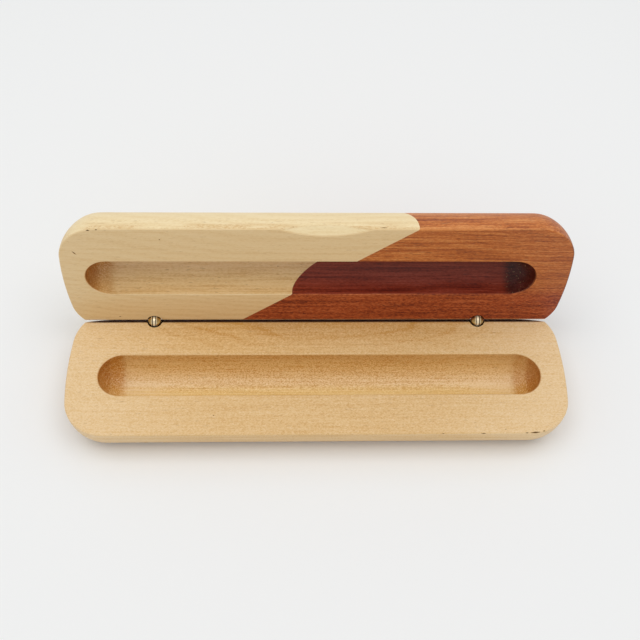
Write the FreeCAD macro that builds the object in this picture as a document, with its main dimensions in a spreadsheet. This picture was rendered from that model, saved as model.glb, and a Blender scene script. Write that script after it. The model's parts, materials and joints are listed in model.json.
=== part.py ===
import FreeCAD, Part
import math
import os
from types import SimpleNamespace

import Sketcher

# Hinged wooden case for one fountain pen, standing open.
# Millimetres. The origin is the middle of the base's flat underside: +X runs to the right along
# the case, +Y to the hinge side and +Z up.
# Every piece is drawn round the hinge axis, with its mating face up. The base keeps that attitude.
# The lid is drawn the same way up and then turned half round about the line that halves the
# opening angle, which lays it in its open place.

DIMENSIONS = [
    ("case_length", 170.0, "length over the bowed ends"),
    ("case_width", 49.4, "width, front edge to rear edge"),
    ("base_thickness", 13.0, "underside to mating face"),
    ("lid_thickness", 13.0, "mating face to top"),
    ("end_radius", 120.0, "bow of each end, seen from above"),
    ("corner_radius", 14.0, "corners, seen from above"),
    ("edge_run", 7.0, "rounded outer edge, measured inwards"),
    ("edge_drop", 12.0, "rounded outer edge, measured along the thickness"),
    ("edge_radius", 5.0, "tighter arc of the rounded edge, next to the flat"),
    ("edge_ease", 0.3, "sanded edges of the mating face"),
    ("trough_end_wall", 9.5, "wood beyond each end of a centred trough"),
    ("trough_width", 15.8, "pen trough, across"),
    ("trough_wall", 1.5, "upright part of the trough's side"),
    ("trough_offset", 2.0, "trough, ahead of the middle of the width"),
    ("base_trough_shift", 1.0, "base trough along X"),
    ("lid_trough_shift", -2.0, "lid trough along X"),
    ("glue_angle", 37.0, "glue plane to the case's length"),
    ("glue_shift", -0.9, "glue plane along X, at the middle of the width"),
    ("notch_radius", 69.0, "drum that cuts the finger notch"),
    ("notch_depth", 1.85, "finger notch, measured in from the edge"),
    ("notch_tilt", 36.0, "finger notch, tilt from the mating face"),
    ("notch_shift", 2.1, "finger notch along X"),
    ("open_angle", 97.0, "lid, from closed to its stop"),
    ("seam_gap", 0.3, "gap between the closed halves"),
    ("pivot_inset", 5.0, "hinge axis to the rear edge"),
    ("bevel_setback", 0.5, "front of the rear bevel, ahead of the hinge axis"),
    ("hinge_from_end", 28.0, "hinge to the end of the case"),
    ("barrel_diameter", 5.0, "hinge barrel"),
    ("barrel_fit", 0.1, "barrel to the wall of its hole"),
    ("barrel_reach", 6.8, "hinge axis to the barrel's end"),
    ("barrel_shoulder", 3.0, "hinge axis to the barrel's shoulder"),
    ("barrel_end_gap", 0.2, "barrel's end to the floor of its hole"),
    ("knuckle_radius", 2.2, "forked knuckle, and its crown above the hinge axis"),
    ("knuckle_bevel", 1.2, "bevel round the knuckle's crown"),
    ("tongue_radius", 2.05, "round end of the tongue"),
    ("tongue_thickness", 0.8, "tongue"),
    ("tongue_clearance", 0.25, "tongue to each cheek of the fork"),
    ("stop_clearance", 0.05, "tongue to the fork's floor, lid open"),
    ("pin_radius", 0.6, "hinge pin"),
    ("pin_length", 4.1, "hinge pin"),
    ("pin_fit", 0.04, "pin to the tongue"),
    ("pin_seat", 0.01, "pin to the fork"),
]

CUTTER_MARGIN = 2.0  # how far a cutting profile reaches past the wood or the metal
IN_PLANE = 1e-6      # tolerance when the mating face's edges are picked
HINGE_SIDES = {"left": -1, "right": 1}

# Lines of the model that several pieces share, as formulas on the sheet
FACE_LEVEL = "-Dims.seam_gap / 2"
MID_WIDTH = "(Dims.pivot_inset - Dims.case_width / 2)"
FRONT_EDGE = "(Dims.pivot_inset - Dims.case_width)"
TROUGH_REACH = "(Dims.case_length / 2 - Dims.trough_end_wall)"
HINGE_REACH = "(Dims.case_length / 2 - Dims.hinge_from_end)"
PIVOT = ("vector({x}; Dims.case_width / 2 - Dims.pivot_inset; "
         "Dims.base_thickness + Dims.seam_gap / 2)")
LEVEL = "placement(" + PIVOT + "; rotation(vector(0; 0; 1); 0))"
OPEN = ("placement(" + PIVOT + "; rotation(vector(0; cos(Dims.open_angle / 2); "
        "-sin(Dims.open_angle / 2)); 180))")

Vector = FreeCAD.Vector
d = SimpleNamespace(**{alias: value for alias, value, _ in DIMENSIONS})
doc = FreeCAD.newDocument("PenCase")


def fill_sheet():
    """Write the driving dimensions into the document's sheet, one aliased cell each."""
    sheet = doc.addObject("Spreadsheet::Sheet", "Dims")
    for row, (alias, value, meaning) in enumerate(DIMENSIONS, 1):
        sheet.set(f"A{row}", alias)
        sheet.set(f"B{row}", str(value))
        sheet.set(f"C{row}", meaning)
        sheet.setAlias(f"B{row}", alias)
    doc.recompute()


class Profile:
    """A sketch on one of its body's own planes, tied to the sheet rule by rule."""

    def __init__(self, body, name, plane, offset=None):
        self.sketch = body.newObject("Sketcher::SketchObject", name)
        support = next(p for p in body.Origin.OriginFeatures if p.Role == plane)
        self.sketch.AttachmentSupport = [(support, "")]
        self.sketch.MapMode = "FlatFace"
        if offset:
            self.sketch.setExpression("AttachmentOffset", offset)

    def draw(self, *shapes):
        for shape in shapes:
            self.sketch.addGeometry(shape, False)

    def chain(self, points):
        """Draw a closed run of lines through points and join their ends."""
        count = len(points)
        for here, there in zip(points, points[1:] + points[:1]):
            self.draw(line(here, there))
        for index in range(count):
            self.rule("Coincident", index, 2, (index + 1) % count, 1)

    def rule(self, kind, *where):
        self.sketch.addConstraint(Sketcher.Constraint(kind, *where))

    def size(self, formula, kind, *where):
        value = float(self.sketch.evalExpression(formula))
        start = math.radians(value) if kind == "Angle" else value
        index = self.sketch.addConstraint(Sketcher.Constraint(kind, *where, start))
        self.sketch.setExpression(f"Constraints[{index}]", formula)


def line(start, end):
    return Part.LineSegment(Vector(*start, 0), Vector(*end, 0))


def arc(centre, radius, start, end):
    circle = Part.Circle(Vector(*centre, 0), Vector(0, 0, 1), radius)
    return Part.ArcOfCircle(circle, start, end)


def shifted(x="0", y="0", z="0", turn="0"):
    """Formula of a sketch's offset from its plane, turned about X."""
    return f"placement(vector({x}; {y}; {z}); rotation(vector(1; 0; 0); {turn}))"


def add(body, kind, name, profile, formulas=None, **settings):
    """Add a feature drawn by a profile, with its sizes tied to the sheet."""
    feature = body.newObject("PartDesign::" + kind, name)
    feature.Profile = profile.sketch
    for key, value in settings.items():
        setattr(feature, key, value)
    for key, formula in (formulas or {}).items():
        feature.setExpression(key, formula)
    doc.recompute()
    return feature


def cut(body, kind, name, profile, formulas=None, **settings):
    """Add a feature that has to take material away."""
    before = body.Shape.Volume
    feature = add(body, kind, name, profile, formulas, **settings)
    if not body.Shape.Volume < before:
        raise RuntimeError(name + " cuts nothing")
    return feature


def cut_through(body, name, profile):
    return cut(body, "Pocket", name, profile, Type="ThroughAll", SideType="Symmetric")


def outline_profile(body):
    """Plan of the case: straight long sides, bowed ends and round corners."""
    plan = Profile(body, "Outline", "XY_Plane", shifted(y=MID_WIDTH, z=FACE_LEVEL))
    bow = d.case_length / 2 - d.end_radius
    side = d.case_width / 2
    corner_y = side - d.corner_radius
    reach = d.end_radius - d.corner_radius
    corner_x = bow + math.sqrt(reach ** 2 - corner_y ** 2)
    lean = math.asin(corner_y / reach)
    quarter = math.pi / 2
    rear, rear_right, right, front_right, front, front_left, left, rear_left = range(8)
    plan.draw(
        line((-corner_x, side), (corner_x, side)),
        arc((corner_x, corner_y), d.corner_radius, lean, quarter),
        arc((bow, 0), d.end_radius, -lean, lean),
        arc((corner_x, -corner_y), d.corner_radius, -quarter, -lean),
        line((corner_x, -side), (-corner_x, -side)),
        arc((-corner_x, -corner_y), d.corner_radius, math.pi + lean, 3 * quarter),
        arc((-bow, 0), d.end_radius, math.pi - lean, math.pi + lean),
        arc((-corner_x, corner_y), d.corner_radius, quarter, math.pi - lean),
    )
    for first, second in ((rear_right, right), (right, front_right),
                          (front_left, left), (left, rear_left)):
        plan.rule("Tangent", first, 1, second, 2)
    plan.rule("Tangent", rear, 2, rear_right, 2)
    plan.rule("Tangent", front_right, 1, front, 1)
    plan.rule("Tangent", front, 2, front_left, 2)
    plan.rule("Tangent", rear_left, 1, rear, 1)
    vertical_axis = -2
    for side_line in (rear, front):
        plan.rule("Symmetric", side_line, 1, side_line, 2, vertical_axis)
    for corner in (front_right, front_left, rear_left):
        plan.rule("Equal", rear_right, corner)
    plan.rule("Equal", right, left)
    plan.rule("PointOnObject", right, 3, -1)
    plan.size("Dims.corner_radius", "Radius", rear_right)
    plan.size("Dims.end_radius", "Radius", right)
    plan.size("Dims.end_radius - Dims.case_length / 2", "DistanceX", right, 3, -1, 1)
    plan.size("Dims.case_width / 2", "DistanceY", -1, 1, rear, 1)
    plan.size("Dims.case_width / 2", "DistanceY", front, 1, -1, 1)
    return plan


def edge_profile(body, thickness):
    """Section of the wood that rounding the outer edge takes off: a slow arc, then a tighter one."""
    section = Profile(body, "EdgeSection", "YZ_Plane")
    rear = d.pivot_inset
    flat = -d.seam_gap / 2 - getattr(d, thickness)
    start = flat + d.edge_drop
    inner = rear - d.edge_run
    tight = d.edge_radius
    slow = ((d.edge_run ** 2 + (d.edge_drop - tight) ** 2 - tight ** 2)
            / (2 * (d.edge_run - tight)))
    meet = -math.atan2(d.edge_drop - tight, slow - d.edge_run)
    slow_arc, tight_arc, down, across, up, back = range(6)
    low = flat - CUTTER_MARGIN
    outside = rear + CUTTER_MARGIN
    section.draw(
        arc((rear - slow, start), slow, meet, 0),
        arc((inner, flat + tight), tight, -math.pi / 2, meet),
        line((inner, flat), (inner, low)),
        line((inner, low), (outside, low)),
        line((outside, low), (outside, start)),
        line((outside, start), (rear, start)),
    )
    section.rule("Tangent", slow_arc, 1, tight_arc, 2)
    section.rule("Coincident", tight_arc, 1, down, 1)
    section.rule("Coincident", down, 2, across, 1)
    section.rule("Coincident", across, 2, up, 1)
    section.rule("Coincident", up, 2, back, 1)
    section.rule("Coincident", back, 2, slow_arc, 2)
    section.rule("Vertical", down)
    section.rule("Horizontal", across)
    section.rule("Vertical", up)
    section.rule("Horizontal", back)
    section.rule("Horizontal", slow_arc, 3, slow_arc, 2)
    section.rule("Vertical", tight_arc, 3, tight_arc, 1)
    section.size("Dims.edge_radius", "Radius", tight_arc)
    section.size("Dims.edge_run", "DistanceX", tight_arc, 1, slow_arc, 2)
    section.size("Dims.edge_drop", "DistanceY", tight_arc, 1, slow_arc, 2)
    section.size("Dims.pivot_inset", "DistanceX", -1, 1, slow_arc, 2)
    section.size(f"Dims.seam_gap / 2 + Dims.{thickness}", "DistanceY", tight_arc, 1, -1, 1)
    section.size(f"{CUTTER_MARGIN}", "DistanceX", slow_arc, 2, back, 1)
    section.size(f"{CUTTER_MARGIN}", "DistanceY", across, 1, tight_arc, 1)
    return section


def trough_wall_profile(body, shift):
    """Mouth of the pen trough: a slot with round ends."""
    slot = Profile(body, "TroughMouth", "XY_Plane",
                   shifted(x=shift, y=f"{MID_WIDTH} - Dims.trough_offset", z=FACE_LEVEL))
    radius = d.trough_width / 2
    straight = d.case_length / 2 - d.trough_end_wall - radius
    quarter = math.pi / 2
    rear, left, front, right = range(4)
    slot.draw(
        line((straight, radius), (-straight, radius)),
        arc((-straight, 0), radius, quarter, 3 * quarter),
        line((-straight, -radius), (straight, -radius)),
        arc((straight, 0), radius, -quarter, quarter),
    )
    slot.rule("Tangent", rear, 2, left, 1)
    slot.rule("Tangent", left, 2, front, 1)
    slot.rule("Tangent", front, 2, right, 1)
    slot.rule("Tangent", right, 2, rear, 1)
    slot.rule("PointOnObject", left, 3, -1)
    slot.rule("PointOnObject", right, 3, -1)
    slot.size("Dims.trough_width / 2", "Radius", right)
    slot.size(f"{TROUGH_REACH} - Dims.trough_width / 2", "DistanceX", left, 3, -1, 1)
    slot.size(f"{TROUGH_REACH} - Dims.trough_width / 2", "DistanceX", -1, 1, right, 3)
    return slot


def trough_floor_profile(body, shift):
    """Half outline of the trough's round floor, to be spun about the trough's own axis."""
    level = f"{FACE_LEVEL} - Dims.trough_wall"
    half = Profile(body, "TroughFloor", "XY_Plane",
                   shifted(x=shift, y=f"{MID_WIDTH} - Dims.trough_offset", z=level))
    radius = d.trough_width / 2
    end = d.case_length / 2 - d.trough_end_wall
    straight = end - radius
    axis, right, top, left = range(4)
    half.draw(
        line((-end, 0), (end, 0)),
        arc((straight, 0), radius, 0, math.pi / 2),
        line((straight, radius), (-straight, radius)),
        arc((-straight, 0), radius, math.pi / 2, math.pi),
    )
    half.rule("Coincident", axis, 2, right, 1)
    half.rule("Tangent", right, 2, top, 1)
    half.rule("Tangent", top, 2, left, 1)
    half.rule("Coincident", left, 2, axis, 1)
    for geometry, point in ((axis, 1), (axis, 2), (right, 3), (left, 3)):
        half.rule("PointOnObject", geometry, point, -1)
    half.rule("Equal", right, left)
    half.size("Dims.trough_width / 2", "Radius", right)
    half.size(TROUGH_REACH, "DistanceX", axis, 1, -1, 1)
    half.size(TROUGH_REACH, "DistanceX", -1, 1, axis, 2)
    return half


def bevel_profile(body):
    """Wedge sawn off the rear edge at half the opening angle, so that the open lid has room."""
    wedge = Profile(body, "BevelSection", "YZ_Plane")
    face = -d.seam_gap / 2
    front = -d.bevel_setback
    back = d.pivot_inset + CUTTER_MARGIN
    low = face - (back - front) * math.tan(math.radians(d.open_angle / 2))
    top, behind, slope = range(3)
    wedge.chain([(front, face), (back, face), (back, low)])
    wedge.rule("Horizontal", top)
    wedge.rule("Vertical", behind)
    wedge.size("Dims.bevel_setback", "DistanceX", top, 1, -1, 1)
    wedge.size("Dims.seam_gap / 2", "DistanceY", top, 1, -1, 1)
    wedge.size(f"Dims.pivot_inset + {CUTTER_MARGIN}", "DistanceX", -1, 1, top, 2)
    wedge.size("Dims.open_angle / 2", "Angle", slope, 2, top, 1)
    return wedge


def hinge_hole_profile(body):
    """The two hinge holes, on the hinge axis."""
    holes = Profile(body, "HingeHoles", "XY_Plane", shifted(z=FACE_LEVEL))
    radius = d.barrel_diameter / 2 + d.barrel_fit
    reach = d.case_length / 2 - d.hinge_from_end
    left, right = range(2)
    for x in (-reach, reach):
        holes.draw(Part.Circle(Vector(x, 0, 0), Vector(0, 0, 1), radius))
    holes.rule("PointOnObject", left, 3, -1)
    holes.rule("PointOnObject", right, 3, -1)
    holes.rule("Equal", left, right)
    holes.size("Dims.barrel_diameter / 2 + Dims.barrel_fit", "Radius", right)
    holes.size(HINGE_REACH, "DistanceX", left, 3, -1, 1)
    holes.size(HINGE_REACH, "DistanceX", -1, 1, right, 3)
    return holes


def ease_mating_edges(body):
    """Sand the sharp edges of the mating face: its outline, its bevel and the trough's rim."""
    level = -d.seam_gap / 2
    worked = body.Tip
    edges = []
    for number, edge in enumerate(worked.Shape.Edges, 1):
        box = edge.BoundBox
        if abs(box.ZMin - level) < IN_PLANE and abs(box.ZMax - level) < IN_PLANE:
            edges.append(f"Edge{number}")
    ease = body.newObject("PartDesign::Chamfer", "EasedEdges")
    ease.Base = (worked, edges)
    ease.setExpression("Size", "Dims.edge_ease")
    doc.recompute()


def drill_hinge_holes(body):
    depth = "Dims.barrel_reach - Dims.seam_gap / 2 + Dims.barrel_end_gap"
    profile = hinge_hole_profile(body)
    doc.recompute()
    cut(body, "Hole", "HingeHole", profile,
        {"Diameter": "Dims.barrel_diameter + 2 * Dims.barrel_fit", "Depth": depth},
        DepthType="Dimension", DrillPoint="Flat")


def wood_half(name, thickness, shift, finish=None):
    """One half of the case, mating face up: plan, rounded outer edge, trough, bevel and holes."""
    body = doc.addObject("PartDesign::Body", name)
    plan = outline_profile(body)
    add(body, "Pad", "Blank", plan, {"Length": f"Dims.{thickness}"}, Reversed=True)
    all_round = [f"Edge{number}" for number in range(1, len(plan.sketch.Shape.Edges) + 1)]
    cut(body, "SubtractivePipe", "RoundedEdge", edge_profile(body, thickness),
        Spine=(plan.sketch, all_round))
    cut(body, "Pocket", "TroughWall", trough_wall_profile(body, shift),
        {"Length": "Dims.trough_wall"})
    floor = trough_floor_profile(body, shift)
    cut(body, "Groove", "TroughRound", floor, ReferenceAxis=(floor.sketch, ["H_Axis"]), Angle=360)
    cut_through(body, "RearBevel", bevel_profile(body))
    ease_mating_edges(body)
    if finish:
        finish(body)
    drill_hinge_holes(body)
    return body


def cut_finger_notch(body):
    """Lens-shaped finger notch, cut across the front edge by a large drum."""
    place = shifted("-Dims.notch_shift", FRONT_EDGE, FACE_LEVEL, "Dims.notch_tilt - 90")
    drum = Profile(body, "NotchDrum", "XY_Plane", place)
    centre = Vector(0, d.notch_depth - d.notch_radius, 0)
    drum.draw(Part.Circle(centre, Vector(0, 0, 1), d.notch_radius))
    drum.rule("PointOnObject", 0, 3, -2)
    drum.size("Dims.notch_radius", "Radius", 0)
    drum.size("Dims.notch_radius - Dims.notch_depth", "DistanceY", 0, 3, -1, 1)
    cut_through(body, "FingerNotch", drum)


def glued_lid():
    """The lid's two woods, parted by a slanting glue plane square to the mating face."""
    blank = wood_half("LidBlank", "lid_thickness", "-Dims.lid_trough_shift", cut_finger_notch)
    side = doc.addObject("Part::Box", "GlueSide")
    side.setExpression("Length", "2 * Dims.case_length")
    side.setExpression("Width", "2 * Dims.case_length")
    side.setExpression("Height", "4 * Dims.lid_thickness")
    along = "Dims.case_length * cos(Dims.glue_angle)"
    across = "Dims.case_length * sin(Dims.glue_angle)"
    side.setExpression("Placement", (
        f"placement(vector(-Dims.glue_shift - {along}; {MID_WIDTH} - {across}; "
        "-2 * Dims.lid_thickness); rotation(vector(0; 0; 1); Dims.glue_angle))"))
    halves = []
    for kind, label in (("Cut", "lid_maple_half"), ("Common", "lid_rosewood_half")):
        half = doc.addObject("Part::" + kind, label)
        half.Base = blank
        half.Tool = side
        half.setExpression("Placement", OPEN.format(x=0))
        halves.append(half)
    return halves


def barrel_profile(body, with_knuckle):
    """Half section of a hinge barrel, with or without the bevelled knuckle that the fork is cut from."""
    half = Profile(body, "BarrelSection", "XZ_Plane")
    radius = d.barrel_diameter / 2
    bottom = -d.barrel_reach
    shoulder = -d.barrel_shoulder
    points = [(0, bottom), (radius, bottom), (radius, shoulder)]
    base_line, wall, ledge = range(3)
    if with_knuckle:
        knuckle = d.knuckle_radius
        rim = knuckle - d.knuckle_bevel
        half.chain(points + [(knuckle, shoulder), (knuckle, rim), (rim, knuckle), (0, knuckle)])
        cheek, bevel, crown, axis = range(3, 7)
        half.rule("Vertical", cheek)
        half.rule("Horizontal", crown)
        half.size("Dims.knuckle_radius", "DistanceX", -1, 1, cheek, 1)
        half.size("Dims.knuckle_radius", "DistanceY", -1, 1, crown, 1)
        half.size("Dims.knuckle_bevel", "DistanceX", bevel, 2, bevel, 1)
        half.size("Dims.knuckle_bevel", "DistanceY", bevel, 1, bevel, 2)
    else:
        half.chain(points + [(0, shoulder)])
        axis = 3
    for point in (1, 2):
        half.rule("PointOnObject", axis, point, -2)
    half.rule("Horizontal", base_line)
    half.rule("Vertical", wall)
    half.rule("Horizontal", ledge)
    half.size("Dims.barrel_reach", "DistanceY", base_line, 1, -1, 1)
    half.size("Dims.barrel_diameter / 2", "DistanceX", -1, 1, wall, 1)
    half.size("Dims.barrel_shoulder", "DistanceY", wall, 2, -1, 1)
    return half


def cut_pin_hole(body, clearance):
    hole = Profile(body, "PinHole", "YZ_Plane")
    hole.draw(Part.Circle(Vector(0, 0, 0), Vector(0, 0, 1), d.pin_radius + getattr(d, clearance)))
    hole.rule("Coincident", 0, 3, -1, 1)
    hole.size(f"Dims.pin_radius + Dims.{clearance}", "Radius", 0)
    cut_through(body, "PinBore", hole)


def fork_profile(body):
    """Slot of the fork. Its floor stops the tongue's flank when the lid reaches the open angle."""
    slot = Profile(body, "ForkSection", "XZ_Plane")
    width = "Dims.tongue_thickness / 2 + Dims.tongue_clearance"
    stop = ("(Dims.tongue_radius + Dims.knuckle_radius * sin(Dims.open_angle - 90))"
            " / cos(Dims.open_angle - 90)")
    floor = f"max(Dims.tongue_radius; {stop}) + Dims.stop_clearance"
    top = "2 * Dims.knuckle_radius"
    half, low, high = (float(slot.sketch.evalExpression(f)) for f in (width, floor, top))
    bottom, right, roof, left = range(4)
    slot.chain([(-half, -low), (half, -low), (half, high), (-half, high)])
    for level_line in (bottom, roof):
        slot.rule("Horizontal", level_line)
    for upright_line in (left, right):
        slot.rule("Vertical", upright_line)
    slot.size(width, "DistanceX", bottom, 1, -1, 1)
    slot.size(width, "DistanceX", -1, 1, bottom, 2)
    slot.size(floor, "DistanceY", bottom, 1, -1, 1)
    slot.size(top, "DistanceY", -1, 1, roof, 1)
    return slot


def base_barrel(name):
    """Forked half of a hinge: a barrel and a slotted, bevelled knuckle round the pin."""
    body = doc.addObject("PartDesign::Body", name)
    section = barrel_profile(body, with_knuckle=True)
    add(body, "Revolution", "Turned", section, ReferenceAxis=(section.sketch, ["V_Axis"]), Angle=360)
    cut_through(body, "Fork", fork_profile(body))
    cut_pin_hole(body, "pin_seat")
    return body


def tongue_profile(body):
    """Tongue that stands on the barrel's shoulder and is round about the pin."""
    tongue = Profile(body, "TongueSection", "YZ_Plane")
    radius = d.tongue_radius
    foot = -d.barrel_shoulder
    right, end, left, seat = range(4)
    tongue.draw(
        line((radius, foot), (radius, 0)),
        arc((0, 0), radius, 0, math.pi),
        line((-radius, 0), (-radius, foot)),
        line((-radius, foot), (radius, foot)),
    )
    tongue.rule("Tangent", right, 2, end, 1)
    tongue.rule("Tangent", end, 2, left, 1)
    tongue.rule("Coincident", left, 2, seat, 1)
    tongue.rule("Coincident", seat, 2, right, 1)
    tongue.rule("Coincident", end, 3, -1, 1)
    tongue.rule("Vertical", right)
    tongue.rule("Vertical", left)
    tongue.rule("Horizontal", seat)
    tongue.size("Dims.tongue_radius", "Radius", end)
    tongue.size("Dims.barrel_shoulder", "DistanceY", right, 1, -1, 1)
    return tongue


def lid_barrel(name):
    """Tongued half of a hinge: the same barrel with a flat tongue on its shoulder."""
    body = doc.addObject("PartDesign::Body", name)
    section = barrel_profile(body, with_knuckle=False)
    add(body, "Revolution", "Turned", section, ReferenceAxis=(section.sketch, ["V_Axis"]), Angle=360)
    add(body, "Pad", "Tongue", tongue_profile(body), {"Length": "Dims.tongue_thickness"},
        SideType="Symmetric")
    cut_pin_hole(body, "pin_fit")
    return body


def hinge_pin(name):
    body = doc.addObject("PartDesign::Body", name)
    section = Profile(body, "PinSection", "YZ_Plane")
    section.draw(Part.Circle(Vector(0, 0, 0), Vector(0, 0, 1), d.pin_radius))
    section.rule("Coincident", 0, 3, -1, 1)
    section.size("Dims.pin_radius", "Radius", 0)
    add(body, "Pad", "Wire", section, {"Length": "Dims.pin_length"}, SideType="Symmetric")
    return body


def hinges():
    """Left and right hinge, each a forked barrel, a tongued barrel and a pin on the hinge axis."""
    makers = {"base_barrel": (base_barrel, LEVEL), "lid_barrel": (lid_barrel, OPEN),
              "pin": (hinge_pin, LEVEL)}
    pieces = []
    for side, sign in HINGE_SIDES.items():
        for part_name, (make, place) in makers.items():
            piece = make(f"{side}_hinge_{part_name}")
            piece.setExpression("Placement", place.format(x=f"{sign} * {HINGE_REACH}"))
            pieces.append(piece)
    return pieces


def check_and_export(pieces):
    """Stop on any failed object or unsound shape, then write one file for each piece."""
    doc.recompute()
    for item in doc.Objects:
        if "Invalid" in item.State or "Error" in item.State:
            raise RuntimeError(f"{item.Name} failed: {item.State}")
    for piece in pieces:
        shape = piece.Shape
        if shape.isNull() or not shape.isValid() or len(shape.Solids) != 1:
            raise RuntimeError(piece.Label + " is not one sound solid")
    os.makedirs("parts", exist_ok=True)
    for piece in pieces:
        piece.Shape.exportStep(f"parts/{piece.Label}.step")
        print(f"{piece.Label}: {piece.Shape.Volume:.2f} mm3, {piece.Shape.BoundBox}")


fill_sheet()
base = wood_half("base", "base_thickness", "Dims.base_trough_shift")
base.setExpression("Placement", LEVEL.format(x=0))
check_and_export([base] + glued_lid() + hinges())
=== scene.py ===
import json
import math

import bmesh
import bpy
from bpy.props import FloatProperty, FloatVectorProperty, IntProperty, PointerProperty
from mathutils import Matrix, Vector


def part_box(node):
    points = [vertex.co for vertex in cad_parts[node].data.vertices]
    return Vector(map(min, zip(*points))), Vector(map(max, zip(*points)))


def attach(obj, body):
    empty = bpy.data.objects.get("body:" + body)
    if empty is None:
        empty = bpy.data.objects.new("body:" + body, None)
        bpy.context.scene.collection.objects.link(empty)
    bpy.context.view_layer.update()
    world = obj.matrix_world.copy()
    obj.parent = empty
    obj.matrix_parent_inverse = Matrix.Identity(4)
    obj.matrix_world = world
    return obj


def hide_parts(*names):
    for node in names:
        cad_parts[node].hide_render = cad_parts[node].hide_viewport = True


bl_info = {
    "name": "Pen Case",
    "version": (1, 0, 0),
    "blender": (4, 5, 0),
    "location": "3D View > Sidebar > Pen Case",
    "description": "Dresses a hinged two-wood pen case and sets it on a pale studio floor",
    "category": "Object",
}

MM = 0.001
MERGE_DISTANCE = 0.002 * MM
WOOD_SMOOTH_BELOW = math.radians(30)
BRASS_SMOOTH_BELOW = math.radians(25)
END_GRAIN = "end_grain"
SPLIT_WOOD_SLOT = 1
CREVICE_REACH = 3 * MM
RING_SIDES = 48
RING_WIRE_SIDES = 12
EDGE_STEPS = 3
FLOOR_HALF = 1500 * MM
NEAREST_VIEW = 10 * MM

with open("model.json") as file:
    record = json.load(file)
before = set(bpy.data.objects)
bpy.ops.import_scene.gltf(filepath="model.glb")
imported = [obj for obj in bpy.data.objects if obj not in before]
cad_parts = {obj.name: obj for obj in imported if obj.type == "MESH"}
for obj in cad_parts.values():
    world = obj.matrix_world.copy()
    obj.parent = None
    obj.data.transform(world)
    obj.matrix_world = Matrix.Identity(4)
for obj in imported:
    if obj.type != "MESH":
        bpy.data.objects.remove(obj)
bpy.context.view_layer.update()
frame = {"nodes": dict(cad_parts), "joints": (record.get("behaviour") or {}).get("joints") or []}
HINGE = frame["joints"][0]
PIVOT = Vector(HINGE["pos_m"])
OPEN_ANGLE = math.radians(HINGE["range_deg"][1])

# Pen trough, in millimetres: its middle across from the hinge axis, half its width, its depth from
# that axis, where its ends start to round off, how far each board's trough is shifted along the
# case, and how far apart the cutter's marks are at its ends
TROUGH_MIDDLE = 21.7
TROUGH_HALF = 7.9
TROUGH_DEPTH = 9.6
TROUGH_STRAIGHT = 67.6
BASE_SHIFT = 1.0
LID_SHIFT = -2.0
CUTTER_MARK_SPACING = 0.698

# Painted highlights along the eased edges of the rosewood's face, in millimetres across from the
# hinge axis
FRONT_EDGE = 44.5
REAR_EDGE = 0.5

# Hinges, in millimetres: from the middle of the case to each, and from the middle of a hinge to the
# gap beside its tongue and to its fork's lips
PIN_LOW, PIN_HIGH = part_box("right_hinge_pin")
HINGE_PLACE = (PIN_LOW.x + PIN_HIGH.x) / 2 / MM
TONGUE_GAP = 0.5
FORK_LIPS = 0.85

# Tints that multiply a wood's own colour: on the walls of the base's trough, painted shade on the
# rear wall and painted light on the front wall; and in each of the lid's woods on its face, on the
# face along the hinge and in the trough, where they are painted shade, save the rosewood's deeper
# red along the hinge, which is partly its own colour, and its darker trough and trough ends, which
# are its own colour
BASE_REAR_WALL_SHADE = (0.89, 0.77, 0.55)
BASE_FRONT_WALL_LIGHT = (1.13, 1.21, 1.12)
MAPLE_FACE_SHADE = (0.89, 0.82, 0.75)
MAPLE_HINGE_SHADE = (0.96, 0.905, 0.83)
MAPLE_TROUGH_SHADE = (0.96, 0.86, 0.71)
MAPLE_TROUGH_FLOOR_SHADE = (0.82, 0.78, 0.82)
ROSEWOOD_FACE_SHADE = (0.91, 0.85, 0.72)
ROSEWOOD_HINGE_RED_AND_SHADE = (0.73, 0.45, 0.48)
ROSEWOOD_TROUGH = (0.48, 0.22, 0.4)
ROSEWOOD_TROUGH_FLOOR_SHADE = (0.76, 0.72, 0.6)
ROSEWOOD_TROUGH_END = (0.22, 0.3, 0.55)


def srgb(red, green, blue):
    """A colour as it looks on screen, 0 to 255, in the linear values that shaders use."""
    def linear(level):
        level /= 255
        return level / 12.92 if level <= 0.04045 else ((level + 0.055) / 1.055) ** 2.4
    return linear(red), linear(green), linear(blue)


def colour(name, description, red, green, blue):
    """A colour that a user can change, its default given as it looks on screen."""
    return FloatVectorProperty(name=name, description=description, subtype="COLOR", size=3,
                               min=0, max=1, default=srgb(red, green, blue))


def length(name, description, millimetres):
    """A size that a user can change, its default given in millimetres."""
    return FloatProperty(name=name, description=description, default=millimetres * MM,
                         unit="LENGTH", precision=5)


def angle(name, description, degrees):
    """An angle that a user can change, its default given in degrees."""
    return FloatProperty(name=name, description=description, default=math.radians(degrees),
                         subtype="ANGLE")


class WoodSettings(bpy.types.PropertyGroup):
    base_pale: colour("Base, pale", "Palest wood of the base, towards its ends", 235, 206, 162)
    base_honey: colour("Base, honey", "Body of the base", 222, 185, 129)
    base_gold: colour("Base, gold", "Brownest streaks of the base, along the hinge", 196, 145, 74)
    maple_pale: colour("Maple, pale", "Early wood of the lid's pale half", 246, 228, 188)
    maple_cream: colour("Maple, cream", "Body of the lid's pale half", 238, 216, 170)
    maple_tan: colour("Maple, tan", "Late wood of the lid's pale half", 220, 188, 134)
    rosewood_light: colour("Rosewood, light", "Lightest streaks of the red-brown half",
                           222, 150, 88)
    rosewood_red: colour("Rosewood, red", "Body of the red-brown half", 188, 106, 48)
    rosewood_dark: colour("Rosewood, dark", "Darkest streaks of the red-brown half", 124, 53, 28)
    end_stain: colour("End stain", "Tint of pale wood cut across its fibres", 208, 160, 40)
    fleck: colour("Fleck", "Small dark flecks in the pale woods", 148, 104, 60)
    split: colour("Split wood", "Torn wood in the nicks", 140, 104, 60)
    # Painted shade: the colour that narrow crevices are darkened towards
    crevice_shade: colour("Soil", "Dirt gathered in narrow crevices", 108, 46, 14)


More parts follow.
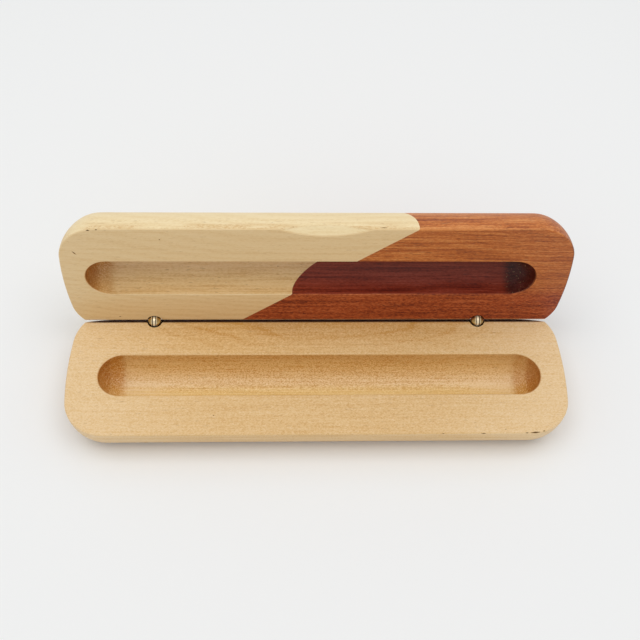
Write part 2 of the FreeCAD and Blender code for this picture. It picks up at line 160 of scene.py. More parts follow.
class HingeSettings(bpy.types.PropertyGroup):
    brass: colour("Brass", "Metal of the barrels", 204, 170, 106)
    # Painted highlight: the pale colour on the tongue and the fork's lips
    painted_highlight: colour("Rubbed", "Brass rubbed bright by the swing of the lid", 250, 232, 196)
    tarnish: colour("Tarnish", "Dull film on the brass", 126, 102, 62)
    # Painted shade: the colour that the fork and the gaps round the barrels are darkened towards
    fork_shade: colour("Grime", "Dirt gathered in the fork and round the barrels", 84, 52, 26)
    ring_count: IntProperty(name="Grip rings", description="Raised rings round each barrel",
                            default=3, min=1, max=6)
    ring_wire: length("Ring wire", "Half thickness of a grip ring", 0.16)
    ring_proud: length("Ring proud", "How far a grip ring stands out from its barrel", 0.06)
    ring_first: length("First ring", "Hinge axis to the first grip ring", 3.9)
    ring_spacing: length("Ring spacing", "Distance between grip rings", 1.0)
    edge_round: length("Edge round", "Rounding of the turned edges", 0.12)


class StageSettings(bpy.types.PropertyGroup):
    floor: colour("Floor", "Pale studio floor", 241, 242, 242)
    azimuth: angle("Azimuth", "Camera's heading, right of straight ahead", 3.49)
    elevation: angle("Elevation", "Camera's dip below level", 56.52)
    roll: angle("Roll", "Camera's tilt about its own line of sight", 2.81)
    distance: length("Distance", "Camera to the point that it looks at", 318.9)
    aim: FloatVectorProperty(name="Aim", description="Point that the camera looks at",
                             default=(1.15 * MM, 20.1 * MM, 13.05 * MM), subtype="TRANSLATION",
                             unit="LENGTH", precision=5)
    lens: FloatProperty(name="Lens", description="Focal length", default=50.625, unit="CAMERA")
    sky: FloatProperty(name="Sky", description="Strength of the even light from all round",
                       default=0.71)
    lamp: FloatProperty(name="Lamp", description="Power of each soft lamp", default=1.05,
                        unit="POWER")
    lamp_size: length("Lamp size", "Side of each square lamp", 450)
    lamp_spread: length("Lamp spread", "Each lamp, to its side of the middle", 250)
    lamp_back: length("Lamp back", "Lamps, behind the middle of the case", 10)
    lamp_height: length("Lamp height", "Lamps above the floor", 750)


class PenCaseSettings(bpy.types.PropertyGroup):
    wood: PointerProperty(type=WoodSettings, name="Woods", description="Colours of the woods")
    hinge: PointerProperty(type=HingeSettings, name="Hinges", description="Brass hinges")
    stage: PointerProperty(type=StageSettings, name="Stage", description="Camera, light and floor")


class Value:
    """What a socket gives, varying over a surface. Arithmetic with it adds Math nodes."""

    def __init__(self, shading, socket):
        self.shading = shading
        self.socket = socket

    def math(self, operation, *operands):
        return self.shading.value("ShaderNodeMath", {"operation": operation},
                                  dict(enumerate(operands)))

    def __add__(self, other):
        return self.math("ADD", self, other)

    __radd__ = __add__

    def __sub__(self, other):
        return self.math("SUBTRACT", self, other)

    def __rsub__(self, other):
        return self.math("SUBTRACT", other, self)

    def __mul__(self, other):
        return self.math("MULTIPLY", self, other)

    __rmul__ = __mul__

    def __truediv__(self, other):
        return self.math("DIVIDE", self, other)

    def __rtruediv__(self, other):
        return self.math("DIVIDE", other, self)

    def __pow__(self, other):
        return self.math("POWER", self, other)

    def __rpow__(self, other):
        return self.math("POWER", other, self)

    def __abs__(self):
        return self.math("ABSOLUTE", self)

    def wave(self, spacing):
        """A smooth swing between 0 and 1, once in each spacing."""
        turn = self * (2 * math.pi / spacing)
        return self.math("SINE", turn) * 0.5 + 0.5


class Shading:
    """The nodes that shade a material or the world."""

    def __init__(self, owner):
        owner.use_nodes = True
        self.nodes = owner.node_tree.nodes
        self.links = owner.node_tree.links

    def feed(self, node, inputs):
        """Set a node's sockets: a Value is linked, and a colour or a number is stored."""
        for key, given in inputs.items():
            socket = node.inputs[key]
            if isinstance(given, Value):
                self.links.new(given.socket, socket)
            elif socket.type == "RGBA":
                socket.default_value = (*given, 1)
            else:
                socket.default_value = given

    def node(self, kind, settings=None, inputs=None):
        """Add a node: its settings first, a ramp's stops among them, then its sockets."""
        made = self.nodes.new(kind)
        for key, setting in (settings or {}).items():
            if key == "stops":
                ramp = made.color_ramp.elements
                while len(ramp) < len(setting):
                    ramp.new(1)
                for stop, (place, tint) in zip(ramp, setting):
                    stop.position = place
                    stop.color = (*tint, 1)
            else:
                setattr(made, key, setting)
        self.feed(made, inputs or {})
        return made

    def value(self, kind, settings=None, inputs=None, output=0):
        """Add a node and take what one of its outputs gives."""
        return Value(self, self.node(kind, settings, inputs).outputs[output])


class Finish(Shading):
    """A material round one Principled shader."""

    def __init__(self, name, specular=0.5):
        self.material = bpy.data.materials.new(name)
        super().__init__(self.material)
        self.shader = self.nodes["Principled BSDF"]
        self.feed(self.shader, {"Specular IOR Level": specular})

    def noise(self, point, scale, detail=2.0, roughness=0.5, distortion=0.0):
        """Noise from 0 to 1, stretched by a different scale along each axis of point."""
        stretched = self.value("ShaderNodeVectorMath", {"operation": "MULTIPLY"},
                               {0: point, 1: scale})
        return self.value("ShaderNodeTexNoise", None,
                          {"Vector": stretched, "Scale": 1.0, "Detail": detail,
                           "Roughness": roughness, "Distortion": distortion}, "Fac")

    def smooth(self, given, low, high):
        """A smooth rise from 0 at low to 1 at high, or a fall where low is the higher."""
        return self.value("ShaderNodeMapRange", {"interpolation_type": "SMOOTHSTEP"},
                          {"Value": given, "From Min": low, "From Max": high}, "Result")

    def mix(self, share, first, second, blend="MIX"):
        return self.value("ShaderNodeMix", {"data_type": "RGBA", "blend_type": blend},
                          {0: share, 6: first, 7: second}, 2)

    def tint(self, share, body, tint):
        """A body multiplied by a tint over a share of its surface."""
        return self.mix(share, body, tint, "MULTIPLY")

    def ramp(self, tone, *stops):
        return self.value("ShaderNodeValToRGB", {"stops": stops}, {0: tone}, "Color")

    def bump(self, height, strength, distance):
        return self.value("ShaderNodeBump", None,
                          {"Height": height, "Strength": strength, "Distance": distance}, "Normal")

    def done(self, body, roughness, normal=None):
        """Feed the shader what every finish has, and hand over the material."""
        self.feed(self.shader, {"Base Color": body, "Roughness": roughness})
        if normal:
            self.feed(self.shader, {"Normal": normal})
        return self.material


class Board:
    """One half of the case as a board: its directions, and places in its wood in millimetres."""

    def __init__(self, turn, facing):
        self.along = Vector((1, 0, 0))
        self.across = Vector((0, -math.cos(turn), math.sin(turn)))
        self.deep = facing * Vector((0, math.sin(turn), math.cos(turn)))

    def place(self, along, across, deep):
        return PIVOT + (self.along * along + self.across * across + self.deep * deep) * MM

    def coordinates(self, finish):
        """A place as one point and in parts: along the case, across from the hinge and deep."""
        where = finish.value("ShaderNodeTexCoord", None, None, "Object")
        local = finish.value("ShaderNodeVectorMath", {"operation": "SUBTRACT"},
                             {0: where, 1: PIVOT})
        parts = [finish.value("ShaderNodeVectorMath", {"operation": "DOT_PRODUCT"},
                              {0: local, 1: axis / MM}, "Value")
                 for axis in (self.along, self.across, self.deep)]
        return finish.value("ShaderNodeCombineXYZ", None, dict(zip("XYZ", parts))), parts


BASE = Board(0, -1)
LID = Board(OPEN_ANGLE, 1)


def in_trough(finish, along, across, deep):
    """1 on the walls and floor of the pen trough, whose middle lies at 0 along."""
    below = finish.smooth(deep, 0.3, 0.5)
    above = finish.smooth(deep, TROUGH_DEPTH + 1, TROUGH_DEPTH + 0.5)
    between = finish.smooth(abs(across - TROUGH_MIDDLE), TROUGH_HALF + 0.5, TROUGH_HALF + 0.2)
    reach = TROUGH_STRAIGHT + TROUGH_HALF
    return below * above * between * finish.smooth(abs(along), reach + 1, reach + 0.5)


def on_face(finish, deep):
    """1 on the flat mating face, fading out over its eased edges."""
    return finish.smooth(deep, 0.6, 0.25)


def lid_floor(finish, across):
    """0 on the wall of the lid's trough along the hinge, rising to 1 on the floor and beyond."""
    return finish.smooth(across, 14.5, 19)


def end_grain(finish):
    """How squarely the surface cuts across the fibres, from 0 along them to 1 across."""
    return finish.value("ShaderNodeAttribute", {"attribute_name": END_GRAIN}, None, "Fac")


def shade_crevices(finish, body, crevice_shade):
    """A body darkened in its narrow crevices as painted shade, and how much duller it is there."""
    # Ambient occlusion darkens the colour where shade falls in crevices: painted shade
    open_air = finish.value("ShaderNodeAmbientOcclusion", {"samples": 8},
                            {"Distance": CREVICE_REACH}, "AO")
    shaded = finish.smooth(open_air, 0.46, 0.18)
    return finish.mix(shaded * 0.9, body, crevice_shade), shaded * 0.5


def grain(finish, point, closeness):
    """What the pale woods share: long fibres, short grit and small dark flecks, from 0 to 1."""
    fibre = finish.noise(point, (0.03, 1.5, 1.5), 4.0, 0.6)
    grit = finish.noise(point, (closeness, 3.0, 3.0), 3.0, 0.65)
    fleck = finish.smooth(finish.noise(point, (0.42, 3.2, 3.2)), 0.64, 0.76)
    return fibre, grit, fleck


def rings(finish, point, parts, pith, spacing, sway):
    """Growth rings round a pith that lies (across, deep) from the hinge, bowed and wandering."""
    x, across, deep = parts
    wander = finish.noise(point, (0.02, 0.06, 0.06)) * sway + x * x * 0.0012
    reach = ((across - pith[0]) ** 2 + (deep - pith[1]) ** 2) ** 0.5
    return (reach + wander).wave(spacing)


def painted_sheen(finish, body, wood, trough, along, across, fibre):
    """Pale streaks on the trough's floor towards each end: a painted sheen."""
    near_ends = finish.smooth(abs(along), 44, 62)
    floor = finish.smooth(abs(across - TROUGH_MIDDLE - 0.9), 4.0, 1.2)
    streaks = finish.smooth(fibre, 0.35, 0.6)
    return finish.mix(trough * near_ends * floor * streaks * 0.55, body, wood.base_pale)


def end_colours(finish, body, wood, trough, point, along, across, sharp):
    """Stain a pale wood where its fibres are cut across, most of all at the trough's ends.

    An end where sharp is 1 has a hard-edged dark wedge and a paler rear wall. An end where it
    is 0 has no wedge, and its stain fades towards the front as painted light.
    """
    mottle = finish.noise(point, (1.3, 1.3, 1.3), 3.0, 0.6) - 0.5
    speck = finish.smooth(finish.noise(point, (2.2, 2.2, 2.2), 2.0, 0.6), 0.48, 0.62)
    square = end_grain(finish)
    cut = square + mottle * 0.6
    # Painted light: less stain towards the front of the end, where more light falls
    front_light = finish.smooth(across, 20, 30) * ((1 - sharp) * 0.55)
    rear_fade = finish.smooth(across, 22, 14) * (sharp * 0.5)
    rounded = abs(along) + mottle * 4
    zone = trough * finish.smooth(rounded, TROUGH_STRAIGHT - 1.4, TROUGH_STRAIGHT + 2.2)
    zone = zone * (1 - front_light) * (1 - rear_fade)
    swing = ((abs(along) - TROUGH_STRAIGHT) ** 2 + (across - TROUGH_MIDDLE) ** 2) ** 0.5
    marks = swing.wave(CUTTER_MARK_SPACING)
    depth = 0.78 - sharp * 0.05 - speck * 0.45 + marks * 0.16
    wedge = finish.smooth(square + mottle * 0.12, 0.56, 0.62) * sharp
    steep = finish.smooth(cut, 0.5, 0.75)
    outside = (1 - trough) * finish.smooth(cut, 0.55, 0.95)
    body = finish.tint(zone * depth, body, wood.end_stain)
    body = finish.tint(trough * (steep * 0.42 + wedge * 0.17), body, wood.end_stain)
    return finish.tint(outside * 0.3, body, wood.end_stain)


def base_finish(wood):
    """Close-grained honey wood, paler towards its ends and browner along the hinge, each partly its
    own colour and partly painted: painted sheen towards the ends, painted shade from the lid along
    the hinge.
    """
    finish = Finish("honey_wood", specular=0.35)
    point, parts = BASE.coordinates(finish)
    x, across, deep = parts
    along = x - BASE_SHIFT
    fibre, grit, fleck = grain(finish, point, closeness=1.8)
    ring = rings(finish, point, parts, pith=(-4, 34), spacing=1.7, sway=5)
    # Paler towards the ends, partly the wood's own and partly painted sheen; browner along the
    # hinge, partly the wood's own and partly painted shade from the lid
    ends = finish.smooth(abs(x), 30, 84)
    rear = finish.smooth(across, 16, 1) * (1 - ends)
    face = on_face(finish, deep)
    trough = in_trough(finish, along, across, deep)
    rear_wall = trough * finish.smooth(across, 21, 14)
    front_wall = trough * finish.smooth(across, 19.5, 24.5)
    coarse = 1.2 + face * 0.4 + trough * 2.1 - front_wall * 1.7
    tone = 0.52 + (fibre - 0.5) * (1.1 - face * 0.5) + (grit - 0.5) * coarse
    tone = tone + ends * (0.24 - front_wall * 0.22) - rear * (ring ** 5 * 0.2 + 0.27)
    body = finish.ramp(tone, (0.05, wood.base_gold), (0.5, wood.base_honey), (0.95, wood.base_pale))
    body = finish.mix(fleck * 0.4, body, wood.fleck)
    # Painted shade on the trough's rear wall, in the lid's shadow, and painted light on its front
    # wall
    body = finish.tint(rear_wall, body, BASE_REAR_WALL_SHADE)
    body = finish.tint(front_wall, body, BASE_FRONT_WALL_LIGHT)
    # Painted sheen on the trough's floor near its ends
    body = painted_sheen(finish, body, wood, trough, along, across, fibre)
    right_end = finish.smooth(x, -10, 10)
    body = end_colours(finish, body, wood, trough, point, along, across, sharp=right_end)
    # Painted shade in narrow crevices
    body, dull = shade_crevices(finish, body, wood.crevice_shade)
    relief = fibre * 0.9 + grit * 0.6 - fleck * 0.5
    normal = finish.bump(relief, strength=0.4, distance=0.1 * MM)
    return finish.done(body, 0.32 + grit * 0.18 + dull, normal)


def maple_finish(wood):
    """Cream wood with faint growth lines, a few specks and torn grain along its front edge, with
    painted shade on its face and in its trough.
    """
    finish = Finish("cream_maple", specular=0.35)
    point, parts = LID.coordinates(finish)
    x, across, deep = parts
    along = x - LID_SHIFT
    fibre, grit, fleck = grain(finish, point, closeness=0.9)
    ring = rings(finish, point, parts, pith=(60, 26), spacing=2.2, sway=6)
    face = on_face(finish, deep)
    trough = in_trough(finish, along, across, deep)
    front = finish.smooth(across, 43.6, 44.2) * (1 - face)
    torn = finish.smooth(finish.noise(point, (0.05, 0.3, 0.3)), 0.44, 0.56)
    torn = torn * front * finish.smooth(deep, 5, 1.5) * finish.smooth(grit, 0.4, 0.6)
    tone = 0.5 + (fibre - 0.5) * (0.6 + trough * 1.1) - (ring - 0.5) * 0.12
    tone = tone + (grit - 0.5) * (0.7 + trough * 0.9 + front * 0.7)
    body = finish.ramp(tone, (0.05, wood.maple_tan), (0.5, wood.maple_cream),
                       (0.95, wood.maple_pale))
    body = finish.mix(fleck * (0.3 + front * 0.3 + trough * 0.35), body, wood.fleck)
    body = finish.mix(torn * 0.6, body, wood.base_gold)
    # Painted shade on the upright face, deeper along the hinge
    body = finish.tint(face, body, MAPLE_FACE_SHADE)
    body = finish.tint(face * finish.smooth(across, 16, 4), body, MAPLE_HINGE_SHADE)
    # Painted shade in the trough, more on its floor and far wall than on the wall along the hinge
    body = finish.tint(trough, body, MAPLE_TROUGH_SHADE)
    body = finish.tint(trough * lid_floor(finish, across), body, MAPLE_TROUGH_FLOOR_SHADE)
    body = end_colours(finish, body, wood, trough, point, along, across, sharp=0.8)
    # Painted shade in narrow crevices
    body, dull = shade_crevices(finish, body, wood.crevice_shade)
    relief = fibre * 0.5 + grit * 0.4 - fleck * 0.5
    normal = finish.bump(relief, strength=0.22, distance=0.06 * MM)
    return finish.done(body, 0.38 + grit * 0.16 + dull, normal)


def rosewood_finish(wood):
    """Streaky red-brown wood with open pores, deeper red along the hinge and in the trough. Along
    the hinge that is partly painted shade; its face and its trough's floor and far wall carry
    painted shade, and its eased edges painted highlights.
    """
    finish = Finish("red_rosewood", specular=0.3)
    straight, (x, across, deep) = LID.coordinates(finish)
    along = x - LID_SHIFT
    figure = finish.noise(straight, (0.11, 0.06, 0.06)) * finish.smooth(x, 45, 80) * 1.8
    point = finish.value("ShaderNodeCombineXYZ", None, {"X": x, "Y": across + figure, "Z": deep})
    streak = finish.noise(point, (0.014, 0.55, 0.55), 3.0, 0.62, 0.35)
    fibre = finish.noise(point, (0.05, 1.9, 1.9), 3.0, 0.62)
    grit = finish.noise(point, (1.0, 2.8, 2.8), 3.0, 0.6)
    pore = finish.smooth(finish.noise(point, (0.34, 3.6, 3.6)), 0.6, 0.7)
    scratch = finish.smooth(finish.noise(point, (0.3, 4.0, 4.0), 2.0, 0.5, 1.0), 0.64, 0.74)
    trough = in_trough(finish, along, across, deep)
    by_hinge = finish.smooth(across, 20, 11) * finish.smooth(deep, 20, 2) * (1 - trough)
    # Painted highlights along the eased front and rear edges of the face
    front_edge_highlight = finish.smooth(abs(across - FRONT_EDGE), 0.55, 0.2) * finish.smooth(deep, 1.0, 0.6)
    rear_edge_highlight = finish.smooth(abs(across - REAR_EDGE), 0.5, 0.25) * finish.smooth(deep, 0.9, 0.5)
    tone = 0.5 + (streak - 0.5) * 0.5 + (fibre - 0.5) * 0.5
    tone = tone + (grit - 0.5) * (0.4 + by_hinge * 0.5)
    body = finish.ramp(tone, (0.32, wood.rosewood_dark), (0.5, wood.rosewood_red),
                       (0.68, wood.rosewood_light))
    body = finish.mix(pore * 0.55, body, wood.rosewood_dark * 0.4)
    body = finish.mix(scratch * 0.3, body, wood.maple_tan)
    body = finish.mix(front_edge_highlight * grit, body, wood.rosewood_light)
    # Painted shade on the face; along the hinge a deeper red, partly the wood's own and partly
    # painted shade
    body = finish.tint(on_face(finish, deep), body, ROSEWOOD_FACE_SHADE)
    body = finish.tint(by_hinge, body, ROSEWOOD_HINGE_RED_AND_SHADE)
    body = finish.mix(rear_edge_highlight * 0.6, body, wood.rosewood_light)
    body = finish.tint(trough, body, ROSEWOOD_TROUGH)
    # Painted shade on the trough's floor and far wall
    body = finish.tint(trough * lid_floor(finish, across), body, ROSEWOOD_TROUGH_FLOOR_SHADE)
    square = end_grain(finish)
    outer_end = finish.smooth(square, 0.15, 0.6) * finish.smooth(across, 42, 32) * (1 - trough)
    body = finish.mix(outer_end * 0.75, body, wood.rosewood_dark * 0.45)
    rounded = abs(along) + (grit - 0.5) * 6
    zone = trough * finish.smooth(rounded, TROUGH_STRAIGHT - 2, TROUGH_STRAIGHT + 2)
    body = finish.tint(zone * (1 - square * 0.4), body, ROSEWOOD_TROUGH_END)
    chalk = finish.smooth(finish.noise(straight, (1.6, 1.6, 1.6)), 0.62, 0.72)
    body = finish.mix(zone * chalk * 0.25, body, wood.maple_tan)
    # Painted shade in narrow crevices
    body, dull = shade_crevices(finish, body, wood.crevice_shade)
    relief = fibre * 0.6 + grit * 0.3 - pore * 0.8
    normal = finish.bump(relief, strength=0.28, distance=0.07 * MM)
    return finish.done(body, 0.36 + fibre * 0.16 + dull, normal)


def split_finish(name, wood):
    """Dark, torn wood inside a nick."""
    finish = Finish(name, specular=0.1)
    point, _ = BASE.coordinates(finish)
    grit = finish.noise(point, (3, 6, 6))
    body = finish.mix(grit * 0.3, wood.split, wood.fleck)
    return finish.done(body, 0.7 + grit * 0.2)


def brass_finish(name, hinge):
    """Turned brass, a little tarnished, with painted highlights on the tongue and the fork's lips.
    """
    finish = Finish(name)
    where = finish.value("ShaderNodeTexCoord", None, None, "Object")
    x = finish.value("ShaderNodeSeparateXYZ", None, {0: where}, "X") / MM
    aside = abs(abs(x) - HINGE_PLACE)
    tongue = finish.smooth(aside, TONGUE_GAP + 0.05, TONGUE_GAP - 0.05)
    lips = finish.smooth(abs(aside - FORK_LIPS), 0.25, 0.1)
    # Painted highlights on the tongue and the fork's lips
    painted_highlight = tongue + lips * 0.55
    film = finish.smooth(finish.noise(where, (900, 900, 900), 3.0), 0.4, 0.7)
    body = finish.mix(film * 0.6, hinge.brass, hinge.tarnish)
    body = finish.mix(painted_highlight, body, hinge.painted_highlight)
    # Painted shade in the fork and round the barrels
    body, dull = shade_crevices(finish, body, hinge.fork_shade)
    finish.feed(finish.shader, {"Metallic": 1 - painted_highlight * 0.6})
    return finish.done(body, 0.24 + film * 0.2 + dull)


def reshape(mesh, operation, parts, **settings):
    """Run one of bmesh's operations on all of a mesh's verts, edges or faces."""
    work = bmesh.new()
    work.from_mesh(mesh)
    operation(work, **{parts: getattr(work, parts)}, **settings)
    work.to_mesh(mesh)
    work.free()


def add_object(name, mesh):
    """Put a mesh in the scene, at the origin."""
    piece = bpy.data.objects.new(name, mesh)
    bpy.context.scene.collection.objects.link(piece)
    return piece


def merged_copy(node, name, smooth_below, *materials):
    """A copy of a CAD node to dress, its loose triangles joined and its gentle edges smooth."""
    source = frame["nodes"][node].data
    mesh = bpy.data.meshes.new(name)
    corners = [vertex.co for vertex in source.vertices]
    mesh.from_pydata(corners, [], [list(face.vertices) for face in source.polygons])
    reshape(mesh, bmesh.ops.remove_doubles, "verts", dist=MERGE_DISTANCE)
    mesh.shade_smooth()
    mesh.set_sharp_from_angle(angle=smooth_below)
    for material in materials:
        mesh.materials.append(material)
    return add_object(name, mesh)


def bake_modifiers(piece):
    """Turn a piece's modifiers into its plain mesh."""
    graph = bpy.context.evaluated_depsgraph_get()
    mesh = bpy.data.meshes.new_from_object(piece.evaluated_get(graph), depsgraph=graph)
    piece.modifiers.clear()
    piece.data = mesh
    mesh.name = piece.name


def combine(piece, other, operation):
    """Cut other out of a piece or join it on, and take other away."""
    step = piece.modifiers.new("combine", "BOOLEAN")
    step.operation = operation
    step.solver = "EXACT"
    step.object = other
    bake_modifiers(piece)
    if not piece.data.polygons:
        raise RuntimeError(f"{piece.name} was lost where {other.name} meets it")
    reshape(piece.data, bmesh.ops.dissolve_degenerate, "edges", dist=MERGE_DISTANCE)
    bpy.data.objects.remove(other)


# Nicks, in millimetres and degrees: place along the case, across from the hinge axis and deep from
# it, then length, width, depth and turn from the grain
BASE_NICKS = [
    (68.6, 44.2, 0.3, 1.2, 0.3, 0.5, 0),
    (71.5, 44.05, 0.3, 4.0, 0.6, 0.6, -5),
    (74.3, 43.55, 0.3, 1.0, 0.4, 0.6, -10),
    (54.2, 44.3, 0.3, 2.0, 0.3, 0.4, 0),
    (40.8, 44.3, 0.3, 1.0, 0.25, 0.4, 0),
    (61.7, 42.9, 0.15, 0.5, 0.35, 0.35, 0),
    (-34.8, 37.2, 0.15, 0.5, 0.35, 0.35, 0),
]
MAPLE_NICKS = [
    (-73.0, 43.8, 0.3, 1.8, 0.45, 0.6, 8),
    (-70.4, 44.1, 0.3, 1.1, 0.35, 0.5, 2),
    (-79.1, 33.8, 0.15, 2.4, 0.45, 0.5, -52),
    (-51.0, 39.8, 0.15, 0.6, 0.4, 0.4, 0),
    (-68.8, 2.3, 0.15, 0.9, 0.4, 0.4, 0),
    (20.5, 44.5, 1.0, 4.0, 0.6, 0.3, 0),
    (-13.6, 18.5, 9.0, 0.6, 0.6, 0.4, 0),
]


def nick_cutters(name, board, nicks):
    """One mesh of pointed lenses, each sunk in the wood where a nick is."""
    points, faces = [], []
    for along, across, deep, long, wide, sunk, turn in nicks:
        first = len(points)
        spin = math.radians(turn)
        middle = board.place(along, across, deep)
        lengthwise = board.along * math.cos(spin) + board.across * math.sin(spin)
        sideways = board.across * math.cos(spin) - board.along * math.sin(spin)
        half_axes = (lengthwise * long / 2, sideways * wide / 2, board.deep * sunk)
        points += [middle + axis * sign * MM for axis in half_axes for sign in (1, -1)]
        faces += [(first + a, first + b, first + c) for a in (0, 1) for b in (2, 3) for c in (4, 5)]
    mesh = bpy.data.meshes.new(name)
    mesh.from_pydata(points, [], faces)
    reshape(mesh, bmesh.ops.recalc_face_normals, "faces")
    for face in mesh.polygons:
        face.material_index = SPLIT_WOOD_SLOT
    return add_object(name, mesh)


def mark_end_grain(piece):
    """Store at every corner how squarely the surface cuts across the fibres."""
    mesh = piece.data
    marks = mesh.attributes.new(END_GRAIN, "FLOAT", "CORNER")
    marks.data.foreach_set("value", [abs(normal.vector.x) for normal in mesh.corner_normals])


def flatten_shading(piece):
    """Let large flat faces keep their own direction beside eased edges."""
    even = piece.modifiers.new("flat_faces", "WEIGHTED_NORMAL")
    even.keep_sharp = True
    bake_modifiers(piece)


def settle(piece, node, body):
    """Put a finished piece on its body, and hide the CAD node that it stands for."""
    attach(piece, body)
    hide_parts(node)


def wooden_block(node, name, body, materials, board=None, nicks=None):
    """A block of the case: the CAD shape with its nicks cut and its end grain marked."""
    piece = merged_copy(node, name, WOOD_SMOOTH_BELOW, *materials)
    if nicks:
        combine(piece, nick_cutters(name + "_nicks", board, nicks), "DIFFERENCE")
    flatten_shading(piece)
    mark_end_grain(piece)
    settle(piece, node, body)


class PENCASE_OT_base(bpy.types.Operator):
    """Dress the base in honey-coloured wood"""
    bl_idname = "pencase.base"
    bl_label = "Base"

    def execute(self, context):
        wood = context.scene.pen_case.wood
        wooden_block("base", "base_block", "base",
                     (base_finish(wood), split_finish("split_honey_wood", wood)), BASE, BASE_NICKS)
        return {"FINISHED"}


class PENCASE_OT_lid(bpy.types.Operator):
    """Dress the lid in its two woods"""
    bl_idname = "pencase.lid"
    bl_label = "Lid"

    def execute(self, context):
        wood = context.scene.pen_case.wood
        wooden_block("lid_maple_half", "lid_maple_block", "lid",
                     (maple_finish(wood), split_finish("split_maple", wood)), LID, MAPLE_NICKS)
        wooden_block("lid_rosewood_half", "lid_rosewood_block", "lid",
                     (rosewood_finish(wood),))
        return {"FINISHED"}


def ring_tree():
    """Geometry Nodes: rings in a row, each turned to face along its barrel."""
    tree = bpy.data.node_groups.new("grip_rings", "GeometryNodeTree")
    sizes = {}
    for name, kind in (("Count", "NodeSocketInt"), ("Radius", "NodeSocketFloat"),
                       ("Wire", "NodeSocketFloat"), ("First", "NodeSocketVector"),
                       ("Step", "NodeSocketVector"), ("Turn", "NodeSocketVector"),
                       ("Material", "NodeSocketMaterial")):
        sizes[name] = tree.interface.new_socket(name, in_out="INPUT", socket_type=kind).identifier
    tree.interface.new_socket("Geometry", in_out="OUTPUT", socket_type="NodeSocketGeometry")
    given = tree.nodes.new("NodeGroupInput")
    result = tree.nodes.new("NodeGroupOutput")

    def add(kind, **links):
        made = tree.nodes.new(kind)
        for key, source in links.items():
            tree.links.new(source, made.inputs[key.replace("_", " ")])
        return made

    size = given.outputs
    row = add("GeometryNodeMeshLine", Count=size["Count"], Start_Location=size["First"],
              Offset=size["Step"])
    loop = add("GeometryNodeCurvePrimitiveCircle", Radius=size["Radius"])
    wire = add("GeometryNodeCurvePrimitiveCircle", Radius=size["Wire"])
    wire.inputs["Resolution"].default_value = RING_WIRE_SIDES
    loop.inputs["Resolution"].default_value = RING_SIDES
    ring = add("GeometryNodeCurveToMesh", Curve=loop.outputs["Curve"],
               Profile_Curve=wire.outputs["Curve"])
    placed = add("GeometryNodeInstanceOnPoints", Points=row.outputs["Mesh"],
                 Instance=ring.outputs["Mesh"], Rotation=size["Turn"])
    real = add("GeometryNodeRealizeInstances", Geometry=placed.outputs["Instances"])
    dressed = add("GeometryNodeSetMaterial", Geometry=real.outputs["Geometry"],
                  Material=size["Material"])
    tree.links.new(dressed.outputs["Geometry"], result.inputs["Geometry"])
    return tree, sizes


def grip_rings(tree, sizes, name, hinge, node, axis, material):
    """The rings round one barrel, as a plain mesh."""
    low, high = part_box(node)
    centre = Vector(((low.x + high.x) / 2, PIVOT.y, PIVOT.z))
    radius = (high.x - low.x) / 2 + hinge.ring_proud - hinge.ring_wire
    piece = add_object(name, bpy.data.meshes.new(name))
    row = piece.modifiers.new("rings", "NODES")
    row.node_group = tree
    for key, given in (("Count", hinge.ring_count), ("Radius", radius), ("Wire", hinge.ring_wire),
                       ("First", centre + axis * hinge.ring_first),
                       ("Step", axis * hinge.ring_spacing),
                       ("Turn", Vector(axis.to_track_quat("Z", "Y").to_euler())),
                       ("Material", material)):
        row[sizes[key]] = given
    bake_modifiers(piece)
    return piece


def round_edges(piece, width):
    """Take the sharpness off turned metal."""
    edge = piece.modifiers.new("edges", "BEVEL")
    edge.width = width
    edge.segments = EDGE_STEPS
    edge.limit_method = "ANGLE"
    edge.angle_limit = BRASS_SMOOTH_BELOW
    edge.harden_normals = True
    bake_modifiers(piece)


class PENCASE_OT_hinges(bpy.types.Operator):
    """Dress the two brass hinges and ring their barrels"""
    bl_idname = "pencase.hinges"
    bl_label = "Hinges"

    def execute(self, context):
        hinge = context.scene.pen_case.hinge
        brass = brass_finish("turned_brass", hinge)
        pin = brass_finish("drawn_brass", hinge)
        tree, sizes = ring_tree()
        for side in ("left", "right"):
            for part, body, slot, material, axis in (
                    ("base_barrel", "base", "hinge_brass", brass, BASE.deep),
                    ("lid_barrel", "lid", "hinge_brass", brass, LID.deep),
                    ("pin", "base", "hinge_pin", pin, None)):
                node = f"{side}_hinge_{part}"
                piece = merged_copy(node, f"{node}_turned", BRASS_SMOOTH_BELOW, material)
                if axis:
                    round_edges(piece, hinge.edge_round)
                    bands = grip_rings(tree, sizes, node + "_rings", hinge, node, axis, brass)
                    combine(piece, bands, "UNION")
                settle(piece, node, body)
        return {"FINISHED"}


def viewing_matrix(stage):
    """Place and attitude of the camera, from the point that it looks at."""
    heading, dip, roll = stage.azimuth, stage.elevation, stage.roll
    forward = Vector((math.sin(heading) * math.cos(dip), math.cos(heading) * math.cos(dip),
                      -math.sin(dip)))
    level = Vector((math.cos(heading), -math.sin(heading), 0))
    right = level * math.cos(roll) + level.cross(forward) * math.sin(roll)
    up = right.cross(forward)
    place = Vector(stage.aim) - forward * stage.distance
    turned = Matrix((right, up, -forward)).transposed().to_4x4()
    return Matrix.Translation(place) @ turned


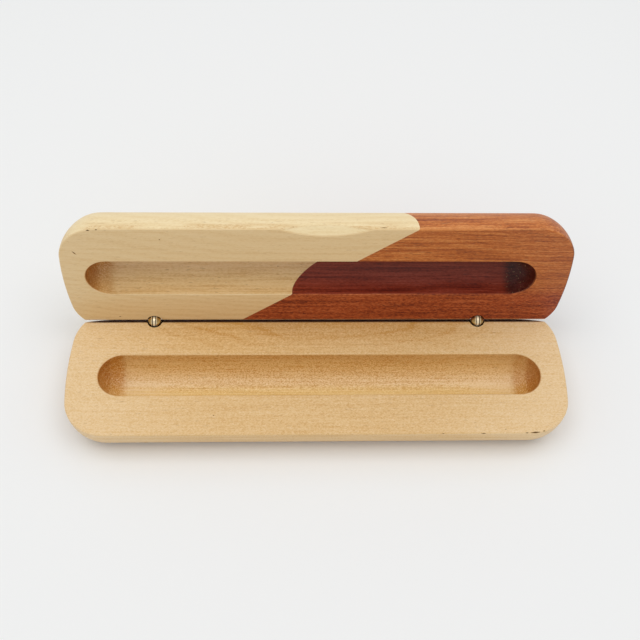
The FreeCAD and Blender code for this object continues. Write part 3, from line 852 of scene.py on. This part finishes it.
class PENCASE_OT_stage(bpy.types.Operator):
    """Set the pale floor, the soft light and the camera"""
    bl_idname = "pencase.stage"
    bl_label = "Stage"

    def execute(self, context):
        scene = context.scene
        stage = scene.pen_case.stage
        self.add_floor(stage)
        self.add_light(scene, stage)
        camera = bpy.data.cameras.new("camera")
        camera.lens = stage.lens
        camera.clip_start = NEAREST_VIEW
        viewer = bpy.data.objects.new("camera", camera)
        viewer.matrix_world = viewing_matrix(stage)
        scene.collection.objects.link(viewer)
        scene.camera = viewer
        scene.view_settings.view_transform = "Standard"
        return {"FINISHED"}

    @staticmethod
    def add_floor(stage):
        corners = [(x * FLOOR_HALF, y * FLOOR_HALF, 0)
                   for x, y in ((-1, -1), (1, -1), (1, 1), (-1, 1))]
        mesh = bpy.data.meshes.new("floor")
        mesh.from_pydata(corners, [], [(0, 1, 2, 3)])
        finish = Finish("floor", specular=0.0)
        mesh.materials.append(finish.done(stage.floor, 0.9))
        add_object("floor", mesh)

    @staticmethod
    def add_light(scene, stage):
        scene.world = bpy.data.worlds.new("studio")
        shading = Shading(scene.world)
        path = shading.node("ShaderNodeLightPath").outputs
        rays = ("Camera", "Glossy", "Transmission")
        seen = sum(Value(shading, path[f"Is {ray} Ray"]) for ray in rays)
        shown = stage.sky * (1 - seen * (1 - stage.floor[1]))
        shading.feed(shading.nodes["Background"], {"Color": (1, 1, 1), "Strength": shown})
        for name, side in (("left_lamp", -1), ("right_lamp", 1)):
            lamp = bpy.data.lights.new(name, "AREA")
            lamp.shape = "SQUARE"
            lamp.size = stage.lamp_size
            lamp.energy = stage.lamp
            hung = bpy.data.objects.new(name, lamp)
            hung.location = (side * stage.lamp_spread, stage.lamp_back, stage.lamp_height)
            towards = Vector(stage.aim) - hung.location
            hung.rotation_euler = towards.to_track_quat("-Z", "Y").to_euler()
            scene.collection.objects.link(hung)


class PENCASE_PT_sidebar(bpy.types.Panel):
    """Pen case tools"""
    bl_idname = "PENCASE_PT_sidebar"
    bl_label = "Pen Case"
    bl_space_type = "VIEW_3D"
    bl_region_type = "UI"
    bl_category = "Pen Case"

    def draw(self, context):
        settings = context.scene.pen_case
        for group, tools in ((settings.wood, ("pencase.base", "pencase.lid")),
                             (settings.hinge, ("pencase.hinges",)),
                             (settings.stage, ("pencase.stage",))):
            box = self.layout.box()
            for key in group.bl_rna.properties.keys():
                if key not in ("rna_type", "name"):
                    box.prop(group, key)
            for tool in tools:
                box.operator(tool)


CLASSES = (WoodSettings, HingeSettings, StageSettings, PenCaseSettings, PENCASE_OT_base,
           PENCASE_OT_lid, PENCASE_OT_hinges, PENCASE_OT_stage, PENCASE_PT_sidebar)


def register():
    for item in CLASSES:
        bpy.utils.register_class(item)
    bpy.types.Scene.pen_case = PointerProperty(type=PenCaseSettings)


def unregister():
    del bpy.types.Scene.pen_case
    for item in reversed(CLASSES):
        bpy.utils.unregister_class(item)


def main():
    register()
    bpy.ops.pencase.base()
    bpy.ops.pencase.lid()
    bpy.ops.pencase.hinges()
    bpy.ops.pencase.stage()


if __name__ == "__main__":
    main()
